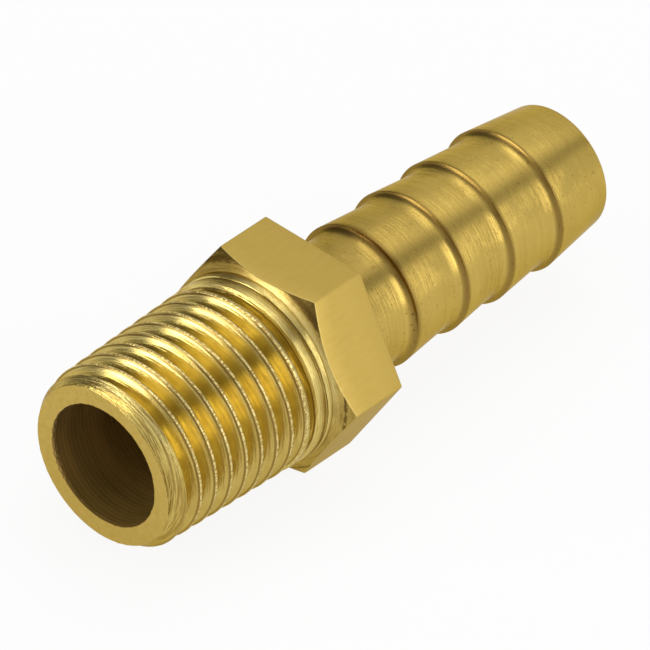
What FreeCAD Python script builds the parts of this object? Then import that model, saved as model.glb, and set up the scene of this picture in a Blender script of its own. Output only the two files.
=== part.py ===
"""Hose barb tail: a brass fitting turned from hexagon bar in one piece.

Units are millimetres. The X axis is the axis of the bore, from the threaded end to the
hose end, and the origin is the centre of the threaded end's face. +Z is square to a flat
of the hexagon, so the fitting lies on the flat that faces -Z.
"""

import FreeCAD, Part
import math
import os

# Hexagon of the bar: on the side of the thread a cone turns its corners off and leaves
# a narrow flat ledge round the shank
HEX_ACROSS_FLATS = 14.2875
HEX_LENGTH = 5.24
HEX_LEDGE = 0.06
HEX_CHAMFER_ANGLE = 30.0

# Tapered pipe thread: 18 turns to the inch, 60 degrees, 1 in 16 on the diameter. The
# groove fades out over the run-out and stops just short of the hexagon.
THREAD_PITCH = 25.4 / 18.0
THREAD_LENGTH = 14.45
THREAD_END_CREST_DIA = 12.72
THREAD_TAPER = 1.0 / 16.0
THREAD_FLANK_ANGLE = 30.0
THREAD_CREST_WIDTH = 0.18
THREAD_START_ANGLE = 126.0
THREAD_RUN_OUT = 2.8
PLAIN_SHANK = 0.12
NOSE_CHAMFER_DEPTH = 0.595
NOSE_CHAMFER_LENGTH = 0.92

# Barbed tail: ridges measured from the back of the hexagon. Each one's shoulder rises
# gently at first and then more steeply, in the lip
RIDGE_DIA = 10.46
RIDGE_DISTANCES = (4.98, 9.94, 14.37, 19.18)
RIDGE_HEIGHT = 0.38
FIRST_RIDGE_HEIGHT = 0.43
SHOULDER_LENGTH = 1.05
LIP_LENGTH = 0.45
LIP_HEIGHT = 0.27
TAIL_LENGTH = 24.47
TAIL_END_DIA = 9.16
TAIL_END_CHAMFER = 0.25

# Bore, wider through the thread than through the tail
THREAD_BORE_DIA = 8.86
TAIL_BORE_DIA = 7.3
THREAD_BORE_LENGTH = 7.4
DRILL_POINT_ANGLE = 59.0

POINTS_PER_TURN = 12

HEX_END = THREAD_LENGTH + HEX_LENGTH
OVERALL_LENGTH = HEX_END + TAIL_LENGTH
FLANK_SLOPE = math.tan(math.radians(THREAD_FLANK_ANGLE))
THREAD_DEPTH = (THREAD_PITCH - THREAD_CREST_WIDTH) / (2.0 * FLANK_SLOPE)
GROOVE_START = -1.5 * THREAD_PITCH
GROOVE_END = THREAD_LENGTH - PLAIN_SHANK

# The cutter stands out of the metal so far that its turns stay half a crest apart
CUTTER_STAND_OUT = THREAD_CREST_WIDTH / (4.0 * FLANK_SLOPE)


def crest_radius(x):
    """Radius of the taper on which the crests of the thread lie."""
    return (THREAD_END_CREST_DIA + x * THREAD_TAPER) / 2.0


def turned(corners):
    """Solid turned about the X axis from the (x, radius) corners of its half outline, the
    first and last of which lie on the axis."""
    points = [FreeCAD.Vector(x, 0.0, radius) for x, radius in corners]
    section = Part.Face(Part.makePolygon(points + points[:1]))
    return section.revolve(FreeCAD.Vector(), FreeCAD.Vector(1.0, 0.0, 0.0), 360.0)


def tapered_shank():
    """Taper before the thread is cut, long enough for the tool to start off the nose."""
    start = GROOVE_START - THREAD_PITCH
    return turned([
        (start, 0.0),
        (start, crest_radius(start)),
        (THREAD_LENGTH, crest_radius(THREAD_LENGTH)),
        (THREAD_LENGTH, 0.0),
    ])


def nose_form():
    """All that the flat face and the chamfer of the nose leave of the shank."""
    face_radius = crest_radius(0.0) - NOSE_CHAMFER_DEPTH
    rise = crest_radius(NOSE_CHAMFER_LENGTH) - face_radius
    outer_radius = 2.0 * crest_radius(THREAD_LENGTH)
    outer_x = (outer_radius - face_radius) * NOSE_CHAMFER_LENGTH / rise
    end = outer_x + THREAD_LENGTH
    return turned([
        (0.0, 0.0),
        (0.0, face_radius),
        (outer_x, outer_radius),
        (end, outer_radius),
        (end, 0.0),
    ])


def groove_lift(x):
    """How far the tool has drawn back from full depth where the groove is at x."""
    travel = max(0.0, 1.0 - (GROOVE_END - x) / THREAD_RUN_OUT)
    eased = travel * travel * (3.0 - 2.0 * travel)
    return eased * (THREAD_DEPTH + CUTTER_STAND_OUT / 2.0)


def groove_edge(side):
    """One of the three long edges of the groove: 0 is its root, and -1 and +1 are the
    edges of its mouth on the nose's side and on the hexagon's."""
    length = GROOVE_END - GROOVE_START
    steps = math.ceil(length / THREAD_PITCH * POINTS_PER_TURN)
    points = []
    places = []
    for step in range(steps + 1):
        x = GROOVE_START + length * step / steps
        root = crest_radius(x) - THREAD_DEPTH + groove_lift(x)
        mouth = crest_radius(x) + CUTTER_STAND_OUT
        radius = mouth if side else root
        angle = math.radians(THREAD_START_ANGLE) + 2.0 * math.pi * x / THREAD_PITCH
        points.append(FreeCAD.Vector(
            x + side * (mouth - root) * FLANK_SLOPE,
            radius * math.cos(angle),
            radius * math.sin(angle),
        ))
        places.append(x)
    curve = Part.BSplineCurve()
    curve.interpolate(Points=points, Parameters=places)
    return curve.toShape()


def thread_groove():
    """Right-hand helical V that starts off the nose and fades out before the hexagon."""
    edges = [groove_edge(0), groove_edge(1), groove_edge(-1)]
    faces = []
    for index in range(3):
        faces.append(Part.makeRuledSurface(edges[index - 1], edges[index], 1))
    for place in (0, -1):
        corners = [edge.Vertexes[place].Point for edge in edges]
        faces.append(Part.Face(Part.makePolygon(corners + corners[:1])))
    shell = Part.Shell(faces)
    shell.sewShape()
    groove = Part.Solid(shell)
    if groove.Volume < 0.0:
        groove.reverse()
    return groove


def hexagon():
    """Hexagon of the bar, its front corners turned off by a cone."""
    corner_radius = HEX_ACROSS_FLATS / math.sqrt(3.0)
    corners = []
    for index in range(7):
        angle = math.radians(60.0 * index)
        corners.append(FreeCAD.Vector(
            THREAD_LENGTH,
            corner_radius * math.cos(angle),
            corner_radius * math.sin(angle),
        ))
    outline = Part.Face(Part.makePolygon(corners))
    prism = outline.extrude(FreeCAD.Vector(HEX_LENGTH, 0.0, 0.0))
    face_radius = crest_radius(THREAD_LENGTH) + HEX_LEDGE
    stock_radius = 2.0 * corner_radius
    slope = math.tan(math.radians(HEX_CHAMFER_ANGLE))
    cone_end = THREAD_LENGTH + (stock_radius - face_radius) * slope
    chamfered_stock = turned([
        (THREAD_LENGTH, 0.0),
        (THREAD_LENGTH, face_radius),
        (cone_end, stock_radius),
        (HEX_END, stock_radius),
        (HEX_END, 0.0),
    ])
    return prism.common(chamfered_stock)


def barbed_tail():
    """Neck and barbs: each ridge has a shoulder of two cones towards the hexagon and one
    long cone that falls away towards the hose end."""
    ridge_radius = RIDGE_DIA / 2.0
    foot_radius = ridge_radius - FIRST_RIDGE_HEIGHT
    corners = [(HEX_END, 0.0), (HEX_END, foot_radius)]
    for distance in RIDGE_DISTANCES:
        ridge = HEX_END + distance
        corners.append((ridge - SHOULDER_LENGTH, foot_radius))
        corners.append((ridge - LIP_LENGTH, ridge_radius - LIP_HEIGHT))
        corners.append((ridge, ridge_radius))
        foot_radius = ridge_radius - RIDGE_HEIGHT
    end_radius = TAIL_END_DIA / 2.0
    corners.append((OVERALL_LENGTH - TAIL_END_CHAMFER, end_radius))
    corners.append((OVERALL_LENGTH, end_radius - TAIL_END_CHAMFER))
    corners.append((OVERALL_LENGTH, 0.0))
    return turned(corners)


def bore():
    """Stepped bore: the wide drill from the thread leaves its cone at the step."""
    wide = THREAD_BORE_DIA / 2.0
    narrow = TAIL_BORE_DIA / 2.0
    drill_cone = (wide - narrow) / math.tan(math.radians(DRILL_POINT_ANGLE))
    return turned([
        (0.0, 0.0),
        (0.0, wide),
        (THREAD_BORE_LENGTH, wide),
        (THREAD_BORE_LENGTH + drill_cone, narrow),
        (OVERALL_LENGTH, narrow),
        (OVERALL_LENGTH, 0.0),
    ])


def hose_barb_tail():
    threaded_end = tapered_shank().cut(thread_groove()).common(nose_form())
    body = threaded_end.fuse([hexagon(), barbed_tail()])
    return body.cut(bore())


def main():
    os.makedirs("parts", exist_ok=True)
    hose_barb_tail().exportStep("parts/hose_barb_tail.step")


main()
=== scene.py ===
# %% [markdown]
# # A brass hose barb tail
#
# The real thing is one piece of brass bar, turned on a lathe: a tapered pipe thread at
# one end, a band of the six-sided bar left for a spanner, and a tail of four barbs that
# grips a hose. It could be built from several plain bodies, but a lathe leaves one skin
# that runs from the nose to the hose end and back through the bore. So this lesson makes
# one closed surface, as a function of the angle about the axis and the place along the
# outline, and then finishes it zone by zone, as the tools left it.

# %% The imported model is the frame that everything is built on
import math

import bmesh
import bpy
import numpy as np
from mathutils import Matrix, Vector


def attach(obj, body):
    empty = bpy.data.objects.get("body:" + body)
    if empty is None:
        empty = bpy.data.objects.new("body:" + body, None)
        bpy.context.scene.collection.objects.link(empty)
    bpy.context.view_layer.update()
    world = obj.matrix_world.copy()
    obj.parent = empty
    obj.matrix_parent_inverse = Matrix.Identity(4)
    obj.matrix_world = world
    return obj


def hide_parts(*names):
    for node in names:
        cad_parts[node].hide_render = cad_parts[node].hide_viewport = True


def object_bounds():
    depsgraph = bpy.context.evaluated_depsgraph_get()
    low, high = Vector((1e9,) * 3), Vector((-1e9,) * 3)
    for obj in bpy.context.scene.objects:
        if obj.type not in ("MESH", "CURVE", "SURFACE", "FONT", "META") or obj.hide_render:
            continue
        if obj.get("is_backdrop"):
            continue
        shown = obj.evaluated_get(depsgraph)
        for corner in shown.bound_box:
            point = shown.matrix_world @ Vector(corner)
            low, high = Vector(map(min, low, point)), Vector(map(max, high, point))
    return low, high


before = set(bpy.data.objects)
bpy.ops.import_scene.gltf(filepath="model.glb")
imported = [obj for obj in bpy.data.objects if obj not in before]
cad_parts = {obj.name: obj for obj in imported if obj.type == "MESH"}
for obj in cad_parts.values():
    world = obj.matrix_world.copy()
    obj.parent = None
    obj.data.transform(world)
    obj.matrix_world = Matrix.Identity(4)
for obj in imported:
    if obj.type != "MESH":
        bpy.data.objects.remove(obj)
cad_box = [list(corner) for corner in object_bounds()]
print("CAD box in mm:", [[round(1000 * value, 2) for value in corner] for corner in cad_box])

# %% [markdown]
# ## The drawing
#
# The sizes are those of the solid, in millimetres, along X from the threaded end to the
# hose end. They are written once, here, and every surface below is worked out from them.
# The finer forms at the end are only for the eye: how round the root of the thread and a
# corner are, how the last turn of the groove ends, and how far the tools tore the edges.

# %% Sizes in millimetres
FULL_TURN = 2 * math.pi

# Thread and nose
PITCH = 25.4 / 18
THREAD_LENGTH = 14.45
NOSE_CREST_RADIUS = 6.36
TAPER_SLOPE = 1 / 32
CREST_WIDTH = 0.18
FLANK_RISE = 1 / math.tan(math.radians(30))
FULL_DEPTH = (PITCH - CREST_WIDTH) * FLANK_RISE / 2
THREAD_START = math.radians(126)
RUN_OUT = 2.8
GROOVE_END = 14.33
NOSE_FACE_RADIUS = 5.765
NOSE_CHAMFER_LENGTH = 0.92

# Hexagon
HEX_FLAT = 14.2875 / 2
HEX_END = 19.69
HEX_LEDGE = 0.06

# Tail
RIDGES = (24.67, 29.63, 34.06, 38.87)
RIDGE_RADIUS = 5.23
FOOT_RADII = (4.80, 4.85, 4.85, 4.85)
SHOULDER_LENGTH = 1.05
TAIL_END = 44.16
TAIL_END_RADIUS = 4.58

# Bore, wider through the thread than through the tail
WIDE_BORE = 4.43
NARROW_BORE = 3.65
STEP = 7.4
DRILL_CONE = (WIDE_BORE - NARROW_BORE) / math.tan(math.radians(59))

# Finer forms
ROOT_ROUND = 0.11
LAG = 0.3
GROOVE_LEFT_AT_END = 0.15
HEX_CORNER_ROUND = 0.1
NECK_ROUND = 0.16
RIDGE_ROUND = 0.03
RIDGE_DROP = 0.02
HOSE_END_ROUND = 0.3
HOSE_END_DROP = 0.28
BORE_END_ROUND = 0.1
MOUTH_ROUND = 0.04
FACE_MIDDLE_RADIUS = 5.25
CREST_BEAD = 0.02
EDGE_BEAD = 0.008
RIM_BURR = 0.45
MOUTH_NICK = 0.22
print("thread depth", round(FULL_DEPTH, 3), "mm")

# %% [markdown]
# ## The columns of the grid
#
# Every row of the surface goes round the axis through the same angles. The corners of the
# hexagon are small arcs, so they need columns close together there, and even ones between.
# The first and the last column lie on each other, and are merged at the end: that lets
# the rows of the thread climb by one turn on their way round.

# %% Angles of the columns, from +Y towards +Z
corner_steps = np.radians([0, 0.2, 0.4, 0.7, 1.2])
even_steps = np.linspace(math.radians(2.3), math.radians(57.7), 40)
sector = np.concatenate([corner_steps, even_steps, math.radians(60) - corner_steps[:0:-1]])
sectors = [sector + math.radians(60 * index) for index in range(6)]
angles = np.concatenate(sectors + [[FULL_TURN]])
print(len(angles), "columns")

# %% [markdown]
# ## The thread
#
# A thread is a V-shaped groove that winds round a taper. It could be a bump in the
# material, but the outline of the crests shows against the background and the flanks
# reflect each other, so it is real surface here. The rows follow the groove instead of
# the axis. Each turn has eleven rows across the groove and three on the crest, which lie
# on the root, the flanks and the edges all the way round, so the edges stay clean with few
# rows.

# %% The form of the taper and of one groove
def taper_radius(x):
    """Radius of the taper: the crest radius at the nose, plus x times the slope."""
    return NOSE_CREST_RADIUS + x * TAPER_SLOPE


def chamfer_radius(x):
    """Radius of the nose chamfer's cone: a straight line from the rim of the face to the
    taper at the chamfer's length."""
    rise = taper_radius(NOSE_CHAMFER_LENGTH) - NOSE_FACE_RADIUS
    return NOSE_FACE_RADIUS + x * rise / NOSE_CHAMFER_LENGTH


def stock_radius(x):
    """What is there before the groove is cut: the lower of the taper and the chamfer."""
    return np.minimum(taper_radius(x), chamfer_radius(x))


def groove_centre(angle, turn):
    """Where the groove's root crosses this angle: one pitch further on for each turn, less
    the lag times the square of how far it is into the run-out."""
    even = PITCH * ((angle - THREAD_START) / FULL_TURN + turn)
    return even - LAG * np.clip(1 - (GROOVE_END - even) / RUN_OUT, 0, 1) ** 2


def groove_depth(centre):
    """Full depth, eased over the run-out by 3t^2 - 2t^3 to the part that is left, a line."""
    travel = np.clip(1 - (GROOVE_END - centre) / RUN_OUT, 0, 1)
    eased = travel * travel * (3 - 2 * travel)
    return FULL_DEPTH * (1 - (1 - GROOVE_LEFT_AT_END) * eased)


def groove_radius(x, centre):
    """Radius of one groove at x: its sharp root plus the distance from the centre times
    the flank's rise, and an arc of the root's rounding where the flanks would meet."""
    root = taper_radius(centre) - groove_depth(centre)
    away = np.abs(x - centre)
    arc = 2 * ROOT_ROUND - np.sqrt(np.maximum(ROOT_ROUND ** 2 - away ** 2, 0))
    flank = away * FLANK_RISE
    return root + np.where(away < ROOT_ROUND * math.cos(math.radians(30)), arc, flank)


def threaded_radius(x, angle):
    """The lowest of the stock and of the two grooves on either side of x."""
    turn = np.floor(x / PITCH - (angle - THREAD_START) / FULL_TURN)
    before = groove_radius(x, groove_centre(angle, turn))
    after = groove_radius(x, groove_centre(angle, turn + 1))
    return np.minimum(stock_radius(x), np.minimum(before, after))


print("crests from", NOSE_CREST_RADIUS, "to", round(taper_radius(THREAD_LENGTH), 3), "mm")

# %% [markdown]
# The mouth of the groove is where its flank comes up to the stock. On the taper and on the
# chamfer both sides are straight lines, so the half widths come from dividing the height
# by the sum or the difference of the two slopes. The tool tears the brass a little there,
# so the crests carry a row of small beads, made by smooth noise along the helix.

# %% Rows of the thread, as places along the axis
def half_widths(centre):
    """Distance from the groove's centre to its mouth on the nose's side and on the other:
    height over (flank rise + stock slope) and over (flank rise - stock slope), the lower
    of what the taper and the chamfer give."""
    root = taper_radius(centre) - groove_depth(centre)
    slope = (taper_radius(NOSE_CHAMFER_LENGTH) - NOSE_FACE_RADIUS) / NOSE_CHAMFER_LENGTH
    to_taper = groove_depth(centre)
    to_chamfer = np.maximum(chamfer_radius(centre) - root, 0)
    left = np.minimum(to_taper / (FLANK_RISE + TAPER_SLOPE), to_chamfer / (FLANK_RISE + slope))
    right = np.minimum(to_taper / (FLANK_RISE - TAPER_SLOPE), to_chamfer / (FLANK_RISE - slope))
    return left, right


def beads(along, per_turn, seed):
    """Smooth noise from 0 to 1 along the helix: random heights joined by 3t^2 - 2t^3."""
    heights = np.random.default_rng(seed).random(64 * per_turn)
    place = (along + 3) * per_turn
    cell = np.floor(place).astype(int)
    part = place - cell
    part = part * part * (3 - 2 * part)
    return heights[cell] * (1 - part) + heights[cell + 1] * part


# Rows 0 to 10 of a turn lie in the groove, at these parts of its half widths, and rows 11
# to 13 on the crest after it, at parts of its width. The middle one of these moves to the
# chamfer's edge where that is near
IN_GROOVE = np.array([-1, -0.93, -0.6, -0.24, -0.1, 0, 0.1, 0.24, 0.6, 0.93, 1])
CREST_SIDES = (0.12, 0.88)
CREST_MIDDLE = (0.3, 0.7)
BEAD_HEIGHTS = {0: EDGE_BEAD, 10: EDGE_BEAD, 11: CREST_BEAD, 12: CREST_BEAD, 13: CREST_BEAD}
BEADS_PER_TURN = 149
BEAD_SEED = 5
TURNS = range(-1, 12)
thread_x = []
thread_r = []
for turn in TURNS:
    centre = groove_centre(angles, turn)
    left, right = half_widths(centre)
    next_centre = groove_centre(angles, turn + 1)
    next_left = half_widths(next_centre)[0]
    start = centre + right
    gap = np.maximum(next_centre - next_left - start, 0)
    least, most = (part * gap for part in CREST_MIDDLE)
    middle = np.clip(NOSE_CHAMFER_LENGTH - start, least, most)
    rows = [centre + part * np.where(part < 0, left, right) for part in IN_GROOVE]
    rows += [start + CREST_SIDES[0] * gap, start + middle, start + CREST_SIDES[1] * gap]
    along = angles / FULL_TURN + turn
    for index, row in enumerate(rows):
        x = np.clip(row, 0, THREAD_LENGTH)
        radius = threaded_radius(x, angles)
        if index in BEAD_HEIGHTS:
            past_nose = np.clip((x - 0.4) / 0.5, 0, 1)
            before_end = np.clip((THREAD_LENGTH - 0.5 - x) / 1.5, 0, 1)
            bead = beads(along, BEADS_PER_TURN, BEAD_SEED + index)
            radius = radius + BEAD_HEIGHTS[index] * bead * (past_nose * before_end)
        thread_x.append(x)
        thread_r.append(radius)
print(len(thread_x), "rows in the thread")

# %% [markdown]
# ## The hexagon
#
# The bar is drawn through a die, so its flats are true and its corners only just rounded.
# In polar form a flat at distance a from the axis has the radius a / cos(angle), and a
# rounded corner is a small circle that touches both flats. The lathe then turned off the
# corners on the thread's side, which leaves a cone that bites deepest at the corners.

# %% Rows of the hexagon
def hexagon_radius(angle):
    """Radius of the hexagon with its corners at 0, 60, 120 degrees and so on: the flat's
    a / cos(30 - d), where d is the angle from the nearest corner, and near the corner the
    far side of the rounding circle."""
    half = math.radians(30)
    off = np.abs((angle + half) % math.radians(60) - half)
    flat = HEX_FLAT / np.cos(half - off)
    reach = (HEX_FLAT - HEX_CORNER_ROUND) / math.cos(half)
    across = reach * np.sin(off)
    arc = reach * np.cos(off) + np.sqrt(np.maximum(HEX_CORNER_ROUND ** 2 - across ** 2, 0))
    touch_out = reach + HEX_CORNER_ROUND * math.cos(half)
    touch = math.atan2(HEX_CORNER_ROUND * math.sin(half), touch_out)
    return np.where(off < touch, arc, flat)


hex_radius = hexagon_radius(angles)
ledge_radius = float(taper_radius(THREAD_LENGTH)) + HEX_LEDGE
CONE_SLOPE = math.tan(math.radians(30))
CONE_PARTS = (0.0, 0.04, 0.3, 0.65, 0.96)
FLAT_QUARTERS_AND_DROPS = ((0.03, 0.012), (0.1, 0), (1.2, 0), (2.6, 0))
BACK_EDGE = ((0.12, 0.0), (0.05, 0.006), (0.015, 0.03), (0.0, 0.08))
BACK_FACE_RADII = (6.4, 5.4)
hex_front = THREAD_LENGTH + (hex_radius - ledge_radius) * CONE_SLOPE
hex_x = []
hex_r = []
for part in CONE_PARTS:
    hex_r.append(ledge_radius + part * (hex_radius - ledge_radius))
    hex_x.append(THREAD_LENGTH + (hex_r[-1] - ledge_radius) * CONE_SLOPE)
for quarters, down in FLAT_QUARTERS_AND_DROPS:
    hex_x.append(hex_front + quarters * (HEX_END - hex_front) / 4)
    hex_r.append(hex_radius - down)
for back, down in BACK_EDGE:
    hex_x.append(np.full_like(angles, HEX_END - back))
    hex_r.append(hex_radius - down)
for radius in BACK_FACE_RADII:
    hex_x.append(np.full_like(angles, HEX_END))
    hex_r.append(np.full_like(angles, radius))
print(len(hex_x), "rows in the hexagon")

# %% [markdown]
# ## The barbed tail
#
# A form tool cut the barbs. Each one falls away in a cone towards the hose end, so the
# hose slides on, and towards the hexagon its shoulder is hollow and ends in a steep lip
# that bites when the hose is pulled. The shoulder is one curve, a sum of a square and a
# ninth power, because the square gives the hollow and the ninth power the lip.

# %% Outline of the tail, of its end and of the bore, as (x, radius) points
def shoulder(ridge, foot):
    """Points of a shoulder: foot + height * (0.4 t^2 + 0.6 t^9), t from 0 to 1."""
    t = np.array([0, 0.12, 0.25, 0.4, 0.55, 0.68, 0.78, 0.85, 0.9, 0.94, 0.97, 0.99])
    height = RIDGE_RADIUS - RIDGE_DROP - foot
    x = ridge - SHOULDER_LENGTH + t * (SHOULDER_LENGTH - RIDGE_ROUND)
    return np.stack([x, foot + height * (0.4 * t ** 2 + 0.6 * t ** 9)], 1)


def arc_points(x, radius, size, start, stop, count=5):
    """Points on a circle of that size about (x, radius), from one angle to another."""
    turns = np.radians(np.linspace(start, stop, count))
    return np.stack([x + size * np.cos(turns), radius + size * np.sin(turns)], 1)


neck = (HEX_END + NECK_ROUND, FOOT_RADII[0] + NECK_ROUND)
outline = [arc_points(*neck, NECK_ROUND, start=180, stop=270)]
for ridge, foot in zip(RIDGES, FOOT_RADII):
    outline.append(shoulder(ridge, foot))
    outline.append(arc_points(
        ridge, RIDGE_RADIUS - RIDGE_ROUND, RIDGE_ROUND, start=160, stop=88, count=4))
hose_end = (TAIL_END - HOSE_END_ROUND, TAIL_END_RADIUS - HOSE_END_DROP)
outline.append(arc_points(*hose_end, HOSE_END_ROUND, start=80, stop=0, count=7))
outline.append([[TAIL_END, 4.0], [TAIL_END, NARROW_BORE + 0.12]])
bore_edge = (TAIL_END - BORE_END_ROUND, NARROW_BORE + BORE_END_ROUND)
outline.append(arc_points(*bore_edge, BORE_END_ROUND, start=340, stop=270, count=4))
NARROW_ROWS = (43.0, 38.0, 30.0, 20.0, 12.0, STEP + DRILL_CONE + 0.02)
WIDE_ROWS = (STEP - 0.02, 6.0, 4.5, 3.0, 1.5, 0.4, 0.12)
outline.append([[x, NARROW_BORE] for x in NARROW_ROWS])
outline.append([[STEP + DRILL_CONE, NARROW_BORE + 0.01], [STEP, WIDE_BORE - 0.01]])
outline.append([[x, WIDE_BORE] for x in WIDE_ROWS])
outline.append(arc_points(
    MOUTH_ROUND, WIDE_BORE + MOUTH_ROUND, MOUTH_ROUND, start=270, stop=185, count=4))
outline.append([[0.0, WIDE_BORE + 0.12], [0.0, 4.9], [0.0, FACE_MIDDLE_RADIUS]])
outline = np.concatenate(outline)
print(len(outline), "rows in the tail and the bore")

# %% [markdown]
# ## One closed skin
#
# All rows are stacked into two arrays, one of places along the axis and one of radii, and
# the points follow as x, radius times cosine and radius times sine. Where rows of the
# thread fall off its two ends they lie on each other, so merging the doubles closes the
# seam and clears those away in one go.
#
# The saw and the drill tore the edges of the face. The burrs are largest at the top of its
# rim, and the nicks in the bore's edge at the side where the drill came through last. A
# bump can't show at an outline, so both are moved points: one noise, times how near the
# angle is to the place.

# %% All rows in one grid, with the torn edges of the face
def nearness(middle, reach, top, least):
    """Top less the distance from an angle in degrees over reach, kept from least to 1."""
    off = np.abs((np.degrees(angles) - middle + 180) % 360 - 180)
    return np.clip(top - off / reach, least, 1)


FACE_PARTS = (0.4, 0.92)
torn = beads(angles / FULL_TURN, per_turn=173, seed=2)
torn = torn * beads(angles / FULL_TURN, per_turn=41, seed=4)
torn[-1] = torn[0]
near_top = nearness(middle=80, reach=24, top=1.2, least=0.2)
near_side = nearness(middle=-20, reach=45, top=1.4, least=0.25)
clean_rim = threaded_radius(np.zeros_like(angles), angles)
rim_r = clean_rim + RIM_BURR * np.maximum(torn - 0.4, 0) * near_top
nicks = MOUTH_NICK * torn * near_side

tail_x = np.repeat(outline[:, :1], len(angles), axis=1)
tail_r = np.repeat(outline[:, 1:], len(angles), axis=1)
face_x = np.zeros((len(FACE_PARTS), len(angles)))
face_r = np.stack([part * rim_r + (1 - part) * FACE_MIDDLE_RADIUS for part in FACE_PARTS])
grid_x = np.concatenate([thread_x, hex_x, tail_x, face_x])
grid_r = np.concatenate([thread_r, hex_r, tail_r, face_r])

# All the rows that lie on the rim move with it, and so do the rounding of the bore's edge
# and the row on either side, so that no row crosses its neighbour
on_rim = (grid_x < 1e-9) & (np.abs(grid_r - clean_rim) < 1e-6)
on_mouth = (grid_x < 0.1) & (grid_r < WIDE_BORE + 0.13)
grid_r = np.where(on_rim, rim_r, grid_r) + on_mouth * nicks
print("largest burr", round(float((rim_r - clean_rim).max()), 3), "mm, largest nick",
      round(float(nicks.max()), 3), "mm")

# %% [markdown]
# Each row of faces remembers its zone, and that picks its finish. The zones could be found
# again from places and angles, but the order of the rows already says where each one
# starts.

# %% The zone of each row
ZONES = ("brass_thread", "brass_chamfer", "brass_flats", "brass_tail", "brass_bore", "brass_face")
CHAMFER_ROWS = len(CONE_PARTS)
ROWS_FROM_HOSE_END_TO_BORE = 4
FACE_ROWS = 6
hex_start = len(thread_x)
tail_start = hex_start + len(hex_x)
hose_end_row = tail_start + int(np.argmax(outline[:, 0] > TAIL_END - 0.001))
zone_starts = (
    0, hex_start - 1, hex_start + CHAMFER_ROWS, tail_start - 1,
    hose_end_row + ROWS_FROM_HOSE_END_TO_BORE, len(grid_x) - FACE_ROWS)
row_zone = np.searchsorted(zone_starts, np.arange(len(grid_x)), side="right") - 1
print("first rows of the zones:", dict(zip(ZONES, zone_starts)))

# %% [markdown]
# Four neighbours in the grid make a face. After the merge the skin is closed, so it has a
# volume, which can be held against the solid's 2549 cubic millimetres, and its sign tells
# whether the faces look outward.

# %% The mesh
MERGE_DISTANCE = 1e-7
SHORTEST_EDGE = 1e-8
SHARP_ANGLE = math.radians(32)
rows, columns = grid_x.shape
points = np.stack([grid_x, grid_r * np.cos(angles), grid_r * np.sin(angles)], 2) / 1000
first = np.arange(rows * columns).reshape(rows, columns)
ahead = np.roll(first, -1, axis=0)
quads = np.stack([first[:, :-1], ahead[:, :-1], ahead[:, 1:], first[:, 1:]], 2).reshape(-1, 4)
zones = np.repeat(row_zone, columns - 1)

mesh = bpy.data.meshes.new("hose_barb_skin")
mesh.from_pydata(points.reshape(-1, 3), [], quads.tolist())
mesh.polygons.foreach_set("material_index", zones.astype(np.int32))
work = bmesh.new()
work.from_mesh(mesh)
bmesh.ops.remove_doubles(work, verts=work.verts, dist=MERGE_DISTANCE)
bmesh.ops.dissolve_degenerate(work, edges=work.edges, dist=SHORTEST_EDGE)
if work.calc_volume(signed=True) < 0:
    bmesh.ops.reverse_faces(work, faces=work.faces)
open_edges = sum(1 for edge in work.edges if not edge.is_manifold)
print("volume", round(work.calc_volume() * 1e9, 1), "mm3, open edges", open_edges)
work.to_mesh(mesh)
work.free()
mesh.shade_smooth()
mesh.set_sharp_from_angle(angle=SHARP_ANGLE)
skin = bpy.data.objects.new("hose_barb_skin", mesh)
bpy.context.scene.collection.objects.link(skin)
triangles = sum(len(face.vertices) - 2 for face in mesh.polygons)
print(triangles, "triangles in the skin")

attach(skin, "root")
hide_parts("hose_barb_tail")

# %% [markdown]
# ## Sums with sockets
#
# A finish is mostly sums: where am I along the axis, how far from a crest, how strong is
# the mark there. Written as nodes they are hard to read, so a small class wraps a socket
# and lets Python's own operators add the Math nodes. One method adds any other node.

# %% A class for writing materials as expressions, and one that holds a material's nodes
class Number:
    """A socket that carries a number. An operator on it adds one Math node."""

    def __init__(self, finish, socket):
        self.finish = finish
        self.socket = socket

    def math(self, operation, *values):
        """A Math node in the same material, with these values in its inputs."""
        return self.finish.add("ShaderNodeMath", {"operation": operation}, values)

    def __add__(self, other):
        return self.math("ADD", self, other)

    def __sub__(self, other):
        return self.math("SUBTRACT", self, other)

    def __rsub__(self, other):
        return self.math("SUBTRACT", other, self)

    def __mul__(self, other):
        return self.math("MULTIPLY", self, other)

    def __truediv__(self, other):
        return self.math("DIVIDE", self, other)

    def __pow__(self, other):
        return self.math("POWER", self, other)

    def __abs__(self):
        return self.math("ABSOLUTE", self)

    __radd__ = __add__
    __rmul__ = __mul__


class Finish:
    """A material, or a world, and the nodes that make it."""

    def __init__(self, name, library=bpy.data.materials):
        self.material = library.new(name)
        self.material.use_nodes = True
        self.tree = self.material.node_tree
        self.tree.nodes.clear()

    def add(self, kind, settings=None, inputs=(), output=0):
        """Adds a node: its settings first, then its inputs by place or by name, and gives
        back one of its outputs."""
        node = self.tree.nodes.new(kind)
        for name, value in (settings or {}).items():
            setattr(node, name, value)
        pairs = inputs.items() if isinstance(inputs, dict) else enumerate(inputs)
        for name, value in pairs:
            if isinstance(value, Number):
                self.tree.links.new(value.socket, node.inputs[name])
            else:
                node.inputs[name].default_value = value
        return Number(self, node.outputs[output]) if node.outputs else None


print("a Number takes + - * / ** and abs()")

# %% [markdown]
# ## Brass
#
# Yellow brass reflects green and blue less than red, so everything that it mirrors turns
# gold, and what it mirrors twice, as in a groove, turns deeper. That comes from the shader
# by itself. What a material has to add is how the surface was made: the lathe leaves fine
# rings, so the marks are noise that changes quickly along X and slowly round the axis. The
# same noise, turned to run along the bar, gives the drawn grain of the flats.

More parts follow.
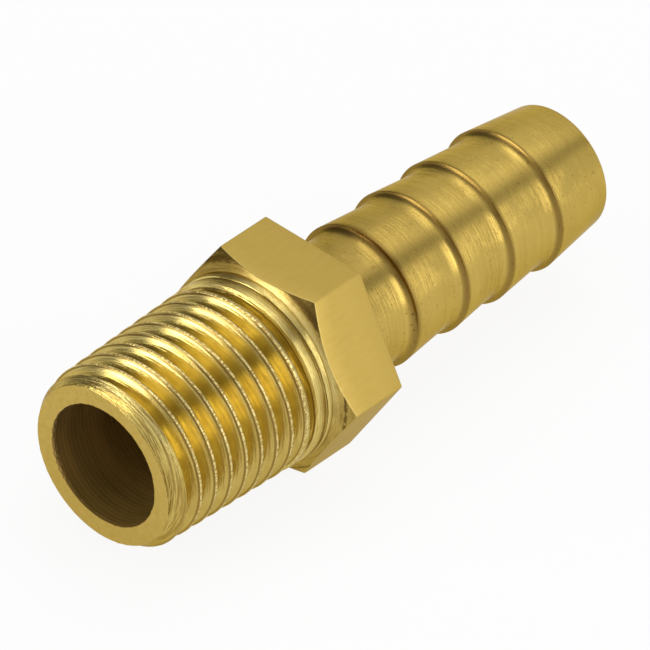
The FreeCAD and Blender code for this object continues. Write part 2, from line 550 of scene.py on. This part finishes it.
# %% What all the brass finishes share
BRASS_DEEP = (0.42, 0.275, 0.055, 1.0)
PAINTED_SHADE_BELOW = (0.40, 0.26, 0.045, 1.0)
STAIN_AND_SHADE = (0.17, 0.095, 0.022, 1.0)
GRAZING_TINT = (0.75, 0.66, 0.44, 1.0)
finishes = {}


def axes_of(finish, vector):
    """The X, Y and Z of a vector, as three numbers."""
    return [
        finish.add("ShaderNodeSeparateXYZ", inputs=[vector], output=index)
        for index in range(3)]


def object_axes(finish):
    """The object's own X, Y and Z in millimetres, as three numbers."""
    metres = finish.add("ShaderNodeTexCoord", output="Object")
    millimetres = finish.add(
        "ShaderNodeVectorMath", {"operation": "SCALE"}, {0: metres, "Scale": 1000.0})
    return axes_of(finish, millimetres)


def turn_about_bar(axes):
    """Angle about X from +Y towards +Z, in radians: the arc tangent of z over y."""
    return axes[0].math("ARCTAN2", axes[2], axes[1])


def noise(finish, place, detail, roughness):
    """Noise at a place given as three numbers, with about one cycle for each unit."""
    vector = finish.add("ShaderNodeCombineXYZ", inputs=place)
    return finish.add(
        "ShaderNodeTexNoise",
        inputs={"Vector": vector, "Scale": 1.0, "Detail": detail, "Roughness": roughness})


def stretched_noise(finish, axes, along, across, detail=2.0, roughness=0.5):
    """Noise with so many cycles a millimetre along the axis and across it."""
    x, y, z = axes
    return noise(finish, [x * along, y * across, z * across], detail, roughness)


def distance_out(axes):
    """Distance from the bar's axis in millimetres: the root of y squared plus z squared."""
    return (axes[1] * axes[1] + axes[2] * axes[2]) ** 0.5


def limited(number, low, high, new_low=0.0, new_high=1.0):
    """The number from low to high brought to the new range, and held to its ends."""
    return number.finish.add(
        "ShaderNodeMapRange", inputs=[number, low, high, new_low, new_high])


def mixed(finish, share, first, second):
    """The first colour, and the second where the share is 1."""
    return finish.add(
        "ShaderNodeMix", {"data_type": "RGBA"}, {0: share, 6: first, 7: second}, output=2)


def brass(finish, axes, colour, roughness, height, metallic=1.0):
    """The metal itself: colour, roughness and a bump of that height in millimetres. Its colour
    is made a little darker towards the bottom, as painted shade. Keeps the material by its
    name and prints how many nodes it took."""
    # Painted shade: the colour darkens towards the bottom of the part.
    painted_shade_below_share = limited(axes[2], 1.0, -4.0, 0.0, 0.32)
    colour = mixed(finish, painted_shade_below_share, colour, PAINTED_SHADE_BELOW)
    bump = finish.add(
        "ShaderNodeBump", inputs={"Strength": 1.0, "Distance": 0.001, "Height": height})
    shader = finish.add("ShaderNodeBsdfPrincipled", inputs={
        "Base Color": colour, "Metallic": metallic, "Roughness": roughness, "Normal": bump,
        "Specular Tint": GRAZING_TINT})
    finish.add("ShaderNodeOutputMaterial", inputs=[shader])
    finishes[finish.material.name] = finish.material
    print(finish.material.name, "has", len(finish.tree.nodes), "nodes")


print("deep brass", BRASS_DEEP[:3], "and its stain", STAIN_AND_SHADE[:3])

# %% [markdown]
# ## The finish of the thread
#
# The tool cuts the flanks in one long helical pull. It leaves scratches that wind with the
# groove, and a crest that is squeezed up into small beads, pale with wear and with a
# painted glint on top of each. Along the top of each flank, under the crest, a dark line is
# painted shade; the flanks carry a painted highlight on the upper side and painted shade low
# down and on the far side. On the nose the chamfer shows rings about the axis instead, and
# in the run-out the beads end and the lands are smooth. Rings about the axis alone would
# be simpler, but they would cross the groove. So the noise follows the distance from the
# groove's root, which the angle and the place along the axis give by the same sum as the
# rows of the mesh, and every mark lies along the thread.

# %% The thread: scratches along the flanks and beads on the crests
FLANK, FLANK_STAINED = (0.66, 0.52, 0.155, 1.0), (0.50, 0.365, 0.09, 1.0)
FLANK_PAINTED_HIGHLIGHT = (0.78, 0.65, 0.28, 1.0)
FLANK_PAINTED_SHADE = (0.42, 0.275, 0.058, 1.0)
TORN = (0.30, 0.19, 0.045, 1.0)
EDGE_PAINTED_SHADE = (0.22, 0.135, 0.03, 1.0)
BEAD_FOOT, BEAD_TOP_PAINTED_GLINT = (0.48, 0.335, 0.10, 1.0), (0.80, 0.66, 0.29, 1.0)
RUN_OUT_LAND = (0.70, 0.55, 0.19, 1.0)


def thread_finish():
    """Places on the thread come from two numbers, the place along the axis and the
    distance from the nearest root: (x + lag) / pitch - angle / full turn, folded back and
    forth between 0 at a root and 0.5 in the middle of a crest. The mouth is the distance
    at which the crest begins."""
    finish = Finish("brass_thread")
    axes = object_axes(finish)
    x, y, z = axes
    run_out_start = GROOVE_END - RUN_OUT
    lag = limited(x, run_out_start, GROOVE_END) ** 2 * (1.2 * LAG)
    turn = (x + lag) / PITCH - (turn_about_bar(axes) - THREAD_START) / FULL_TURN
    from_root = turn.math("PINGPONG", turn, 0.5)
    full_mouth = 0.5 - CREST_WIDTH / PITCH / 2
    last_mouth = 0.078
    mouth = finish.add(
        "ShaderNodeMapRange", {"interpolation_type": "SMOOTHSTEP"},
        [x, run_out_start, GROOVE_END, full_mouth, last_mouth])

    # Where things are, as shares from 0 to 1
    nose = limited(x, 0.9, 1.2, 1.0, 0.0)
    fading = limited(x, 12.0, 12.6)
    crest = limited(from_root - mouth, -0.006, 0.004) * (1 - nose)
    beading = crest * (1 - fading)
    # Painted shade: a dark line along the top of each flank, just under the crest.
    edge = limited(abs(from_root - mouth + 0.028), 0.012, 0.03, 0.9, 0.0) * (1 - nose)
    far_side_shade_share = limited(y, -1.0, 2.0)

    # The marks: scratches that wind with the groove, beads, and rings about the axis
    scratches = noise(finish, [from_root * 14 + x * 0.3, y * 0.3, z * 0.3], 3.0, 0.6)
    grains = stretched_noise(finish, axes, along=3.0, across=6.5, detail=1.0)
    rings = stretched_noise(finish, axes, along=13.0, across=0.4, detail=3.0, roughness=0.6)
    cloud = stretched_noise(finish, axes, along=0.9, across=0.9)

    # The bump: the marks, and crests that are rounded by the square of the distance from
    # their middle
    height = scratches * 0.026 + grains * beading * 0.04 + rings * (nose * 0.08 + fading * 0.03)
    height = height - (0.5 - from_root) ** 2 * (beading * 1.8 + fading * 0.55)

    # The flanks' colour: clean to stained, a painted highlight on the upper side, painted shade
    # low down and on the far side, torn, and a line of painted shade under the crest
    stain = limited(scratches, 0.35, 0.7) * 0.55 + limited(cloud, 0.45, 0.62) * 0.4
    # Painted highlight: the upper strip of each flank is made paler on the upper side.
    painted_highlight_share = limited(from_root, 0.24, 0.36, 0.0, 0.4) * (1 - fading) * limited(z, 2.0, 4.5)
    # Painted shade: the upper strip of each flank is darker low down, and the far side, where Y
    # is high, is darker too.
    painted_shade_share = limited(from_root, 0.2, 0.3, 0.0, 0.4) * limited(z, 4.0, 0.5)
    painted_shade_share = painted_shade_share + limited(y, 1.5, 4.5, 0.0, 0.45)
    # The torn rings are tool marks; in the run-out their extra share on the far side is painted
    # shade.
    torn = limited(rings, 0.44, 0.58) * (nose * 0.85 + fading * (far_side_shade_share * 0.4 + 0.35))
    worked = mixed(finish, stain, FLANK, FLANK_STAINED)
    worked = mixed(finish, painted_highlight_share, worked, FLANK_PAINTED_HIGHLIGHT)
    worked = mixed(finish, painted_shade_share, worked, FLANK_PAINTED_SHADE)
    worked = mixed(finish, torn, worked, TORN)
    worked = mixed(finish, edge, worked, EDGE_PAINTED_SHADE)

    # The crests' colour: pale with wear, a painted glint on top of each bead, and plain in the
    # run-out
    worn_crest_and_glint = mixed(finish, limited(grains, 0.42, 0.56), BEAD_FOOT, BEAD_TOP_PAINTED_GLINT)
    worn_crest_and_glint = mixed(finish, fading, worn_crest_and_glint, RUN_OUT_LAND)
    colour = mixed(finish, crest * (1 - torn), worked, worn_crest_and_glint)
    roughness = limited(scratches, 0.3, 0.7, 0.16, 0.25) + beading * 0.05
    brass(finish, axes, colour, roughness, height)


thread_finish()

# %% [markdown]
# ## The finish of the tail
#
# The barbs keep the fine rings of the form tool and a few dark specks. In each corner under
# a lip a brown line is partly stain and partly painted shade, and the top of the neck carries
# painted shade. The rings could be mesh, but at a few hundredths of a millimetre they only
# break up the reflections, so a bump does it. They are deeper in some patches than in
# others, as on a bar that sprang under the tool.

# %% The tail: rings, specks, and a line of stain and painted shade under each lip
TAIL_BRIGHT, TAIL_STAINED = (0.57, 0.405, 0.098, 1.0), (0.47, 0.32, 0.072, 1.0)
LIP_STAIN_AND_SHADE_REACH = (0.55, 0.36, 0.36, 0.36)


def tail_finish():
    """Rings about the axis, and darkening as a sum of shares: the specks, the rim at the hose
    end, one line for each lip that fades out with the distance from it, partly stain and
    partly painted shade, and painted shade on the top of the neck."""
    finish = Finish("brass_tail")
    axes = object_axes(finish)
    x, y, z = axes
    rings = stretched_noise(finish, axes, along=6.0, across=0.12, detail=4.0, roughness=0.7)
    cloud = stretched_noise(finish, axes, along=0.5, across=0.5)
    specks = stretched_noise(finish, axes, along=2.6, across=4.5, detail=1.0)
    dirt_and_shade = limited(specks, 0.68, 0.74, 0.0, 0.35)
    dirt_and_shade = dirt_and_shade + limited(x, TAIL_END - 0.2, TAIL_END - 0.02, 0.0, 0.35)
    for ridge, reach in zip(RIDGES, LIP_STAIN_AND_SHADE_REACH):
        # Under each lip a brown line, partly stain and partly painted shade; the wider one at the
        # first ridge is painted shade over a reflection.
        dirt_and_shade = dirt_and_shade + limited(abs(x - (ridge - 0.09)), 0.07, reach, 0.75, 0.0)
    # Painted shade: the top of the neck, next to the hexagon, is darker.
    dirt_and_shade = dirt_and_shade + limited(x, 20.5, 32.0, 0.3, 0.0) * limited(z, 2.5, 4.5)
    stain = limited(rings * 0.7 + cloud * 0.3, 0.38, 0.62) * 0.6
    colour = mixed(finish, stain, TAIL_BRIGHT, TAIL_STAINED)
    colour = mixed(finish, dirt_and_shade, colour, STAIN_AND_SHADE)
    roughness = limited(rings, 0.3, 0.7, 0.22, 0.32)
    depth = limited(cloud, 0.4, 0.6, 0.012, 0.04)
    brass(finish, axes, colour, roughness, (rings - 0.5) * depth)


tail_finish()

# %% [markdown]
# ## The finish of the hexagon
#
# The flats are the skin of the drawn bar. They are matt, with a faint grain that runs
# along it, so they show one even tone each, and a thin pale line where the cone cut their
# front edge. The cone itself was cut across the corners, stroke by stroke, so the tool
# tore it: it is darker, and most of all at the outer corners. Both finishes need the
# distance from the axis, and a root of two squares gives it.

# %% The flats and the chamfer that cuts their corners
FLATS_BRIGHT, FLATS_EDGE = (0.545, 0.384, 0.094, 1.0), (0.68, 0.52, 0.19, 1.0)
CHAMFER_BRIGHT, CHAMFER_DULL_AND_SHADED = (0.50, 0.355, 0.095, 1.0), (0.30, 0.20, 0.045, 1.0)
CHAMFER_PAINTED_HIGHLIGHT, CHAMFER_TORN = (0.74, 0.60, 0.23, 1.0), (0.10, 0.06, 0.014, 1.0)


def flats_finish():
    """Drawn grain and hairlines, and a pale line just past the cone's edge, which lies at
    the hexagon's front plus (distance out - ledge radius) times the cone's slope."""
    finish = Finish("brass_flats")
    axes = object_axes(finish)
    grain = stretched_noise(finish, axes, along=0.9, across=3.0, detail=4.0, roughness=0.6)
    hairs = stretched_noise(finish, axes, along=0.35, across=9.0, detail=1.0)
    deep = limited(grain, 0.4, 0.7) * 0.14 + limited(hairs, 0.68, 0.74) * 0.15
    past_edge = axes[0] - THREAD_LENGTH - (distance_out(axes) - ledge_radius) * CONE_SLOPE
    colour = mixed(finish, deep, FLATS_BRIGHT, BRASS_DEEP)
    colour = mixed(finish, limited(past_edge, 0.05, 0.14, 0.6, 0.0), colour, FLATS_EDGE)
    brass(finish, axes, colour, limited(grain, 0.3, 0.7, 0.36, 0.44), grain * 0.004)


def chamfer_finish():
    """Torn rings, darker on the far side as painted shade, a painted highlight near the flats
    on the upper near side, and dark in the upper corners and along a ragged line near each
    corner's tip."""
    finish = Finish("brass_chamfer")
    axes = object_axes(finish)
    x, y, z = axes
    tears = stretched_noise(finish, axes, along=8.0, across=0.6, detail=4.0, roughness=0.65)
    chatter = stretched_noise(finish, axes, along=3.0, across=3.0)
    out = distance_out(axes) + chatter * 0.3
    # The tears are tool marks; the darker far side, where Y is high, is painted shade.
    tears_and_far_shade = limited(tears, 0.35, 0.65) + limited(y, -0.5, 2.5, 0.0, 0.5)
    # Painted highlight: the cone is made paler near the flats on its upper near side.
    chamfer_painted_highlight = limited(out, 7.2, 7.45, 0.7, 0.0) * limited(z, -1.0, 3.0) * limited(y, 1.5, -1.5)
    line = limited(abs(out - 7.78), 0.05, 0.13, 0.9, 0.0) * limited(chatter, 0.38, 0.5)
    corner = limited(z, 3.0, 5.0) * limited(out, 7.45, 7.6) * limited(tears, 0.4, 0.5, 0.5, 0.9)
    colour = mixed(finish, tears_and_far_shade, CHAMFER_BRIGHT, CHAMFER_DULL_AND_SHADED)
    colour = mixed(finish, chamfer_painted_highlight, colour, CHAMFER_PAINTED_HIGHLIGHT)
    colour = mixed(finish, line + corner, colour, CHAMFER_TORN)
    brass(finish, axes, colour, limited(tears, 0.3, 0.7, 0.28, 0.42), tears * 0.06)


flats_finish()
chamfer_finish()

# %% [markdown]
# ## The finish of the bore and of the end face
#
# The drill leaves coarse rings in the bore, one for each turn of its feed, and a film of
# oxide that makes it brown and only half metallic. The face was sawn and skimmed, so it is
# even but mottled. Rings from a sine would all be alike. Here noise shifts them along the
# axis first, so that they wander a little.

# %% The bore and the face
BORE_BROWN, BORE_OXIDE = (0.32, 0.195, 0.056, 1.0), (0.11, 0.066, 0.017, 1.0)
BORE_RING = (0.52, 0.28, 0.09, 1.0)
FACE_BRIGHT = (0.55, 0.395, 0.105, 1.0)


def bore_finish():
    """Rings of the drill: the place along the axis plus a slow noise, folded back and
    forth, shows a ring wherever it comes near its top."""
    finish = Finish("brass_bore")
    axes = object_axes(finish)
    drift = stretched_noise(finish, axes, along=0.6, across=0.12, detail=2.0, roughness=0.6)
    place = axes[0] + drift * 0.5
    ring = limited(place.math("PINGPONG", place, 0.17), 0.1, 0.16)
    colour = mixed(finish, limited(drift, 0.35, 0.65), BORE_BROWN, BORE_OXIDE)
    colour = mixed(finish, ring * 0.3, colour, BORE_RING)
    roughness = limited(drift, 0.3, 0.7, 0.4, 0.5)
    brass(finish, axes, colour, roughness, ring * 0.01, metallic=0.5)


def face_finish():
    """An even mottle, finer across the face than along the bar."""
    finish = Finish("brass_face")
    axes = object_axes(finish)
    grain = stretched_noise(finish, axes, along=1.0, across=2.2, detail=3.0, roughness=0.6)
    colour = mixed(finish, limited(grain, 0.35, 0.7) * 0.5, FACE_BRIGHT, BRASS_DEEP)
    brass(finish, axes, colour, limited(grain, 0.3, 0.7, 0.3, 0.38), grain * 0.03)


bore_finish()
face_finish()
for zone in ZONES:
    mesh.materials.append(finishes[zone])
print("zones in order:", [material.name for material in mesh.materials])

# %% [markdown]
# ## The studio
#
# Metal is drawn by what it mirrors, so the light is laid out for the reflections. On a
# round bar each angle mirrors one direction. Two soft boxes give the two bright bands on
# the barbs, a dark joint in the ceiling gives the gap between them, and a wall in shade
# the dim side. A small strip lights the far side, and a low lamp ahead of the nose lights
# the face. The rest is the white of the room. Dark cards could do the same as the joint
# and the wall, but they would throw shadows on the floor, and the world doesn't.

# %% The floor
WHITE = (1.0, 1.0, 1.0, 1.0)
MATT_WHITE = (0.92, 0.92, 0.92, 1.0)
FLOOR_SHOWN = 0.9
FLOOR_LEVEL = -HEX_FLAT / 1000
FLOOR_CORNERS = ((-0.12, -0.14), (0.16, -0.14), (0.16, 0.14), (-0.12, 0.14))


def floor_material():
    """Matt and pale. To the camera, and to mirrors and glass, most of it is plain white,
    and the rest is the matt colour, so that it still keeps the shadow."""
    finish = Finish("pale_floor")
    camera_ray, glossy_ray, transmission_ray = (
        finish.add("ShaderNodeLightPath", output=f"Is {kind} Ray")
        for kind in ("Camera", "Glossy", "Transmission"))
    seen = camera_ray + glossy_ray + transmission_ray
    matt = finish.add("ShaderNodeBsdfDiffuse", inputs={"Color": MATT_WHITE})
    glow = finish.add("ShaderNodeEmission", inputs={"Color": WHITE, "Strength": 1.0})
    both = finish.add("ShaderNodeMixShader", inputs=[seen * FLOOR_SHOWN, matt, glow])
    finish.add("ShaderNodeOutputMaterial", inputs=[both])
    return finish.material


floor_mesh = bpy.data.meshes.new("floor")
floor_mesh.from_pydata([(x, y, FLOOR_LEVEL) for x, y in FLOOR_CORNERS], [], [(0, 1, 2, 3)])
floor_mesh.materials.append(floor_material())
floor = bpy.data.objects.new("floor", floor_mesh)
bpy.context.scene.collection.objects.link(floor)
floor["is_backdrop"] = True
print("floor at", round(1000 * FLOOR_LEVEL, 3), "mm")

# %% [markdown]
# The room is only a direction's brightness, so it is the world and needs no walls. Its
# shares of darkness are sums of ramps, as in the finishes. The camera alone sees it plain,
# as pale as the floor, so that no horizon shows behind the part.

# %% The room
JOINT_TURN = 131
JOINT_LEAN = 18
JOINT_DARK = 0.42
CEILING_DARK = 0.2
WALL_DARK = 0.6
BACKGROUND_DARK = 0.05


def white_room():
    """White below the horizon and a little dimmer above it. A dark joint in the ceiling
    runs along the bar: its darkness falls off with the turn about X on either side, and
    leans with the place along X. The wall where Y is high is in shade."""
    room = Finish("white_room", bpy.data.worlds)
    axes = axes_of(room, room.add("ShaderNodeTexCoord", output="Generated"))
    x, y, z = axes
    degrees = turn_about_bar(axes) * (180 / math.pi)
    joint = limited(abs(degrees + x * JOINT_LEAN - JOINT_TURN), 4.0, 14.0, JOINT_DARK, 0.0)
    wall = limited(y, 0.56, 0.72) * limited(x, 0.3, 0.56, WALL_DARK, 0.0)
    dark = limited(z, 0.0, 0.06) * (joint + CEILING_DARK) + limited(z, -0.2, -0.05) * wall
    seen = room.add("ShaderNodeLightPath", output="Is Camera Ray")
    strength = 1 - dark * (1 - seen) - seen * BACKGROUND_DARK
    light = room.add("ShaderNodeBackground", inputs=[WHITE, strength])
    room.add("ShaderNodeOutputWorld", inputs=[light])
    return room.material


bpy.context.scene.world = white_room()
print("world:", bpy.context.scene.world.name)

# %% [markdown]
# ## The lamps
#
# Each lamp is placed by the direction that the metal has to mirror: how far it leans along
# the bar, and its turn about the bar's axis. A lamp could be moved until it looked right,
# but the angle at which a band lies on the bar gives the lamp's own turn at once.

# %% The lamps
MIDDLE = Vector((0.021, 0.0, 0.0))
LAMP_DISTANCE = 0.6


def soft_box(name, turn, along, wide, tall, brightness):
    """A lamp at that distance from the middle, in the direction whose part along X is
    given and whose rest is turned about X, in degrees from +Y towards +Z. Its width runs
    with the bar. Its power is brightness * pi * area, so that 1 shines as a white wall."""
    across = math.sqrt(1 - along * along)
    turn = math.radians(turn)
    out = Vector((along, across * math.cos(turn), across * math.sin(turn)))
    with_bar = (Vector((1, 0, 0)) - along * out).normalized()
    turned = Matrix((with_bar, out.cross(with_bar), out)).transposed().to_4x4()
    light = bpy.data.lights.new(name, "AREA")
    light.shape = "RECTANGLE"
    light.size = wide
    light.size_y = tall
    light.energy = brightness * math.pi * wide * tall
    made = bpy.data.objects.new(name, light)
    made.matrix_world = Matrix.Translation(MIDDLE + LAMP_DISTANCE * out) @ turned
    bpy.context.scene.collection.objects.link(made)
    print(name, "power", round(light.energy, 3), "W")


soft_box("soft_box_top", turn=82, along=0.29, wide=0.22, tall=0.42, brightness=1.6)
soft_box("soft_box_top_far", turn=93, along=0.66, wide=0.24, tall=0.17, brightness=0.3)
soft_box("soft_box_side", turn=154, along=0.27, wide=0.24, tall=0.44, brightness=2.0)
soft_box("soft_box_nose", turn=30, along=-0.88, wide=0.3, tall=0.26, brightness=4.6)

# %% [markdown]
# ## The camera
#
# The photograph was taken from some way off, with a long lens, so the part hardly tapers
# with distance. The camera looks down at it by 39 degrees, from the threaded end and to
# one side, and is rolled a little. Its place was fitted to the hexagon's corners and the
# round mouth, which is surer than moving it by eye.

# %% The camera's place and its roll
FRAME_PIXELS = 650
FOCAL_PIXELS = 14000
CAMERA_DISTANCE = 0.913998
CAMERA_TURN, CAMERA_LIFT, CAMERA_ROLL = np.radians([-49.978, 38.950, 3.279]).tolist()
target = Vector((0.021407, 0.000046, -0.000601))

camera_data = bpy.data.cameras.new("camera")
camera_data.sensor_width = 36.0
camera_data.lens = FOCAL_PIXELS / FRAME_PIXELS * camera_data.sensor_width
camera_data.clip_start = 0.05
camera_data.clip_end = 20.0
camera = bpy.data.objects.new("camera", camera_data)
bpy.context.scene.collection.objects.link(camera)
level = math.cos(CAMERA_LIFT)
back = Vector((
    math.sin(CAMERA_TURN) * level, -math.cos(CAMERA_TURN) * level, math.sin(CAMERA_LIFT)))
place = Matrix.Translation(target + back * CAMERA_DISTANCE)
upright = back.to_track_quat("Z", "Y").to_matrix().to_4x4()
camera.matrix_world = place @ upright @ Matrix.Rotation(CAMERA_ROLL, 4, "Z")
bpy.context.scene.camera = camera
print("camera", round((camera.matrix_world.translation - target).length, 3), "m away")

# %% [markdown]
# ## The end
#
# The Standard view shows colours as they are written. Last, the box of the skin is printed
# beside the box of the solid.

# %% Colours as they are written, and the two boxes side by side
bpy.context.scene.view_settings.view_transform = "Standard"
visual_box = [list(corner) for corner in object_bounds()]
for name, box in (("CAD", cad_box), ("visual", visual_box)):
    print(name, "box in mm:", [[round(1000 * value, 2) for value in corner] for corner in box])
